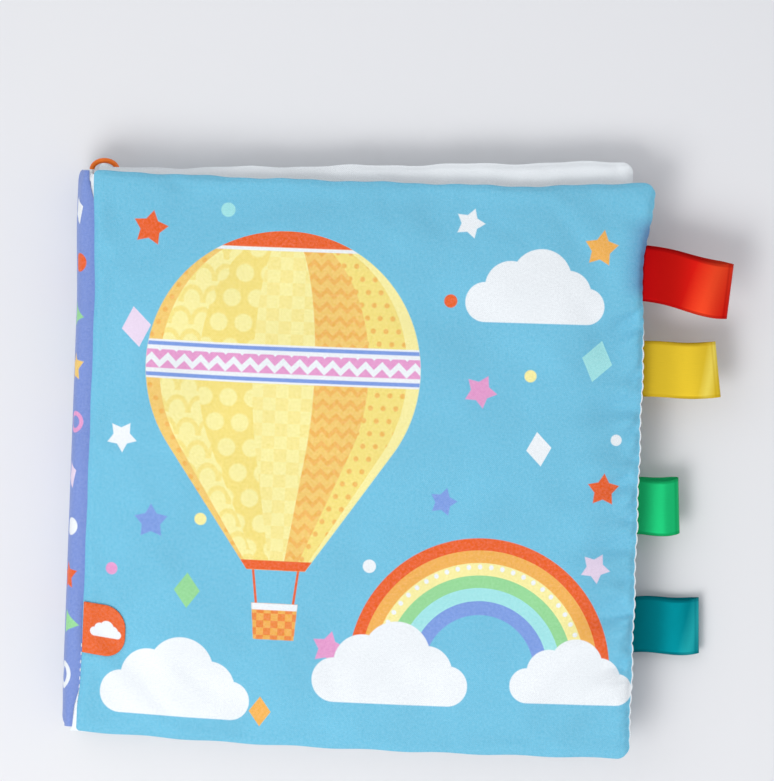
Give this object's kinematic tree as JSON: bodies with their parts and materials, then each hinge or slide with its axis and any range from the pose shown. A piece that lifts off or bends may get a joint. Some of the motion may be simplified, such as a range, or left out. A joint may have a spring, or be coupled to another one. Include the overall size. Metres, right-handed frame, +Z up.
{
  "type": "crinkle cloth book",
  "caption": "Square padded cloth book with crinkle film in its panels, a soft spine, folded ribbon loops on the fore-edge and a small hanging loop.",
  "frame": {"origin": "middle of the back cover's flat underside, with the book closed and lying on it", "axes": "+X from the spine to the fore-edge, +Y to the head of the pages, +Z up through the pages to the front cover"},
  "size_m": [0.2394, 0.2171, 0.0294],
  "materials": {
    "cover_cloth": "printed woven polyester, matt",
    "spine_cloth": "printed woven polyester, matt",
    "page_cloth": "printed white woven polyester, matt",
    "batting": "lofted polyester fibre",
    "crinkle_film": "thin crackling film",
    "orange_tape": "woven tape",
    "red_satin": "satin ribbon",
    "yellow_satin": "satin ribbon",
    "green_satin": "satin ribbon",
    "teal_satin": "satin ribbon"
  },
  "bodies": {
    "back_cover": {"back_cover_face_fabric": "cover_cloth", "back_cover_lining_fabric": "page_cloth", "back_cover_batting": "batting", "back_cover_crinkle_film": "crinkle_film"},
    "spine": {"spine_outer_fabric": "spine_cloth", "spine_lining": "page_cloth", "spine_padding": "batting", "hanging_loop": "orange_tape"},
    "front_cover": {"front_cover_face_fabric": "cover_cloth", "front_cover_lining_fabric": "page_cloth", "front_cover_batting": "batting", "front_cover_crinkle_film": "crinkle_film"},
    "upper_leaf": {"upper_leaf_front_fabric": "page_cloth", "upper_leaf_back_fabric": "page_cloth", "upper_leaf_batting": "batting", "upper_leaf_crinkle_film": "crinkle_film"},
    "lower_leaf": {"lower_leaf_front_fabric": "page_cloth", "lower_leaf_back_fabric": "page_cloth", "lower_leaf_batting": "batting", "lower_leaf_crinkle_film": "crinkle_film"},
    "label": {"side_label": "orange_tape"},
    "red_loop": {"red_ribbon": "red_satin"},
    "yellow_loop": {"yellow_ribbon": "yellow_satin"},
    "green_loop": {"green_ribbon": "green_satin"},
    "teal_loop": {"teal_ribbon": "teal_satin"}
  },
  "joints": [
    {"name": "spine_fold", "type": "hinge", "parent": "back_cover", "child": "spine", "pos_m": [-0.1025, 0, 0.004], "axis": [0, -1, 0], "range_deg": [0, 90]},
    {"name": "front_cover_open", "type": "hinge", "parent": "spine", "child": "front_cover", "pos_m": [-0.1025, 0, 0.0251], "axis": [0, -1, 0], "range_deg": [0, 90]},
    {"name": "upper_leaf_turn", "type": "hinge", "parent": "spine", "child": "upper_leaf", "pos_m": [-0.10126, 0, 0.0177], "axis": [0, -1, 0], "range_deg": [0, 45]},
    {"name": "lower_leaf_turn", "type": "hinge", "parent": "spine", "child": "lower_leaf", "pos_m": [-0.10126, 0, 0.0114], "axis": [0, -1, 0], "range_deg": [-45, 0]},
    {"name": "label_lift", "type": "hinge", "parent": "front_cover", "child": "label", "pos_m": [-0.1001, -0.0646, 0.02595], "axis": [0, -1, 0], "range_deg": [0, 100]},
    {"name": "red_ribbon_bend", "type": "hinge", "parent": "front_cover", "child": "red_loop", "pos_m": [0.1008, 0.07215, 0.0251], "axis": [0, -1, 0], "range_deg": [-30, 60], "stiffness_Nm_per_rad": 0.001},
    {"name": "yellow_ribbon_bend", "type": "hinge", "parent": "upper_leaf", "child": "yellow_loop", "pos_m": [0.09477, 0.03699, 0.0177], "axis": [0, -1, 0], "range_deg": [-30, 20], "stiffness_Nm_per_rad": 0.001},
    {"name": "green_ribbon_bend", "type": "hinge", "parent": "lower_leaf", "child": "green_loop", "pos_m": [0.09357, -0.01304, 0.0114], "axis": [0, -1, 0], "range_deg": [-30, 20], "stiffness_Nm_per_rad": 0.001},
    {"name": "teal_ribbon_bend", "type": "hinge", "parent": "back_cover", "child": "teal_loop", "pos_m": [0.0993, -0.05625, 0.004], "axis": [0, -1, 0], "range_deg": [0, 60], "stiffness_Nm_per_rad": 0.001}
  ],
  "couplings": [
    {"joint": "upper_leaf_turn", "follows": "front_cover_open", "ratio": 0.5},
    {"joint": "lower_leaf_turn", "follows": "spine_fold", "ratio": -0.5}
  ]
}
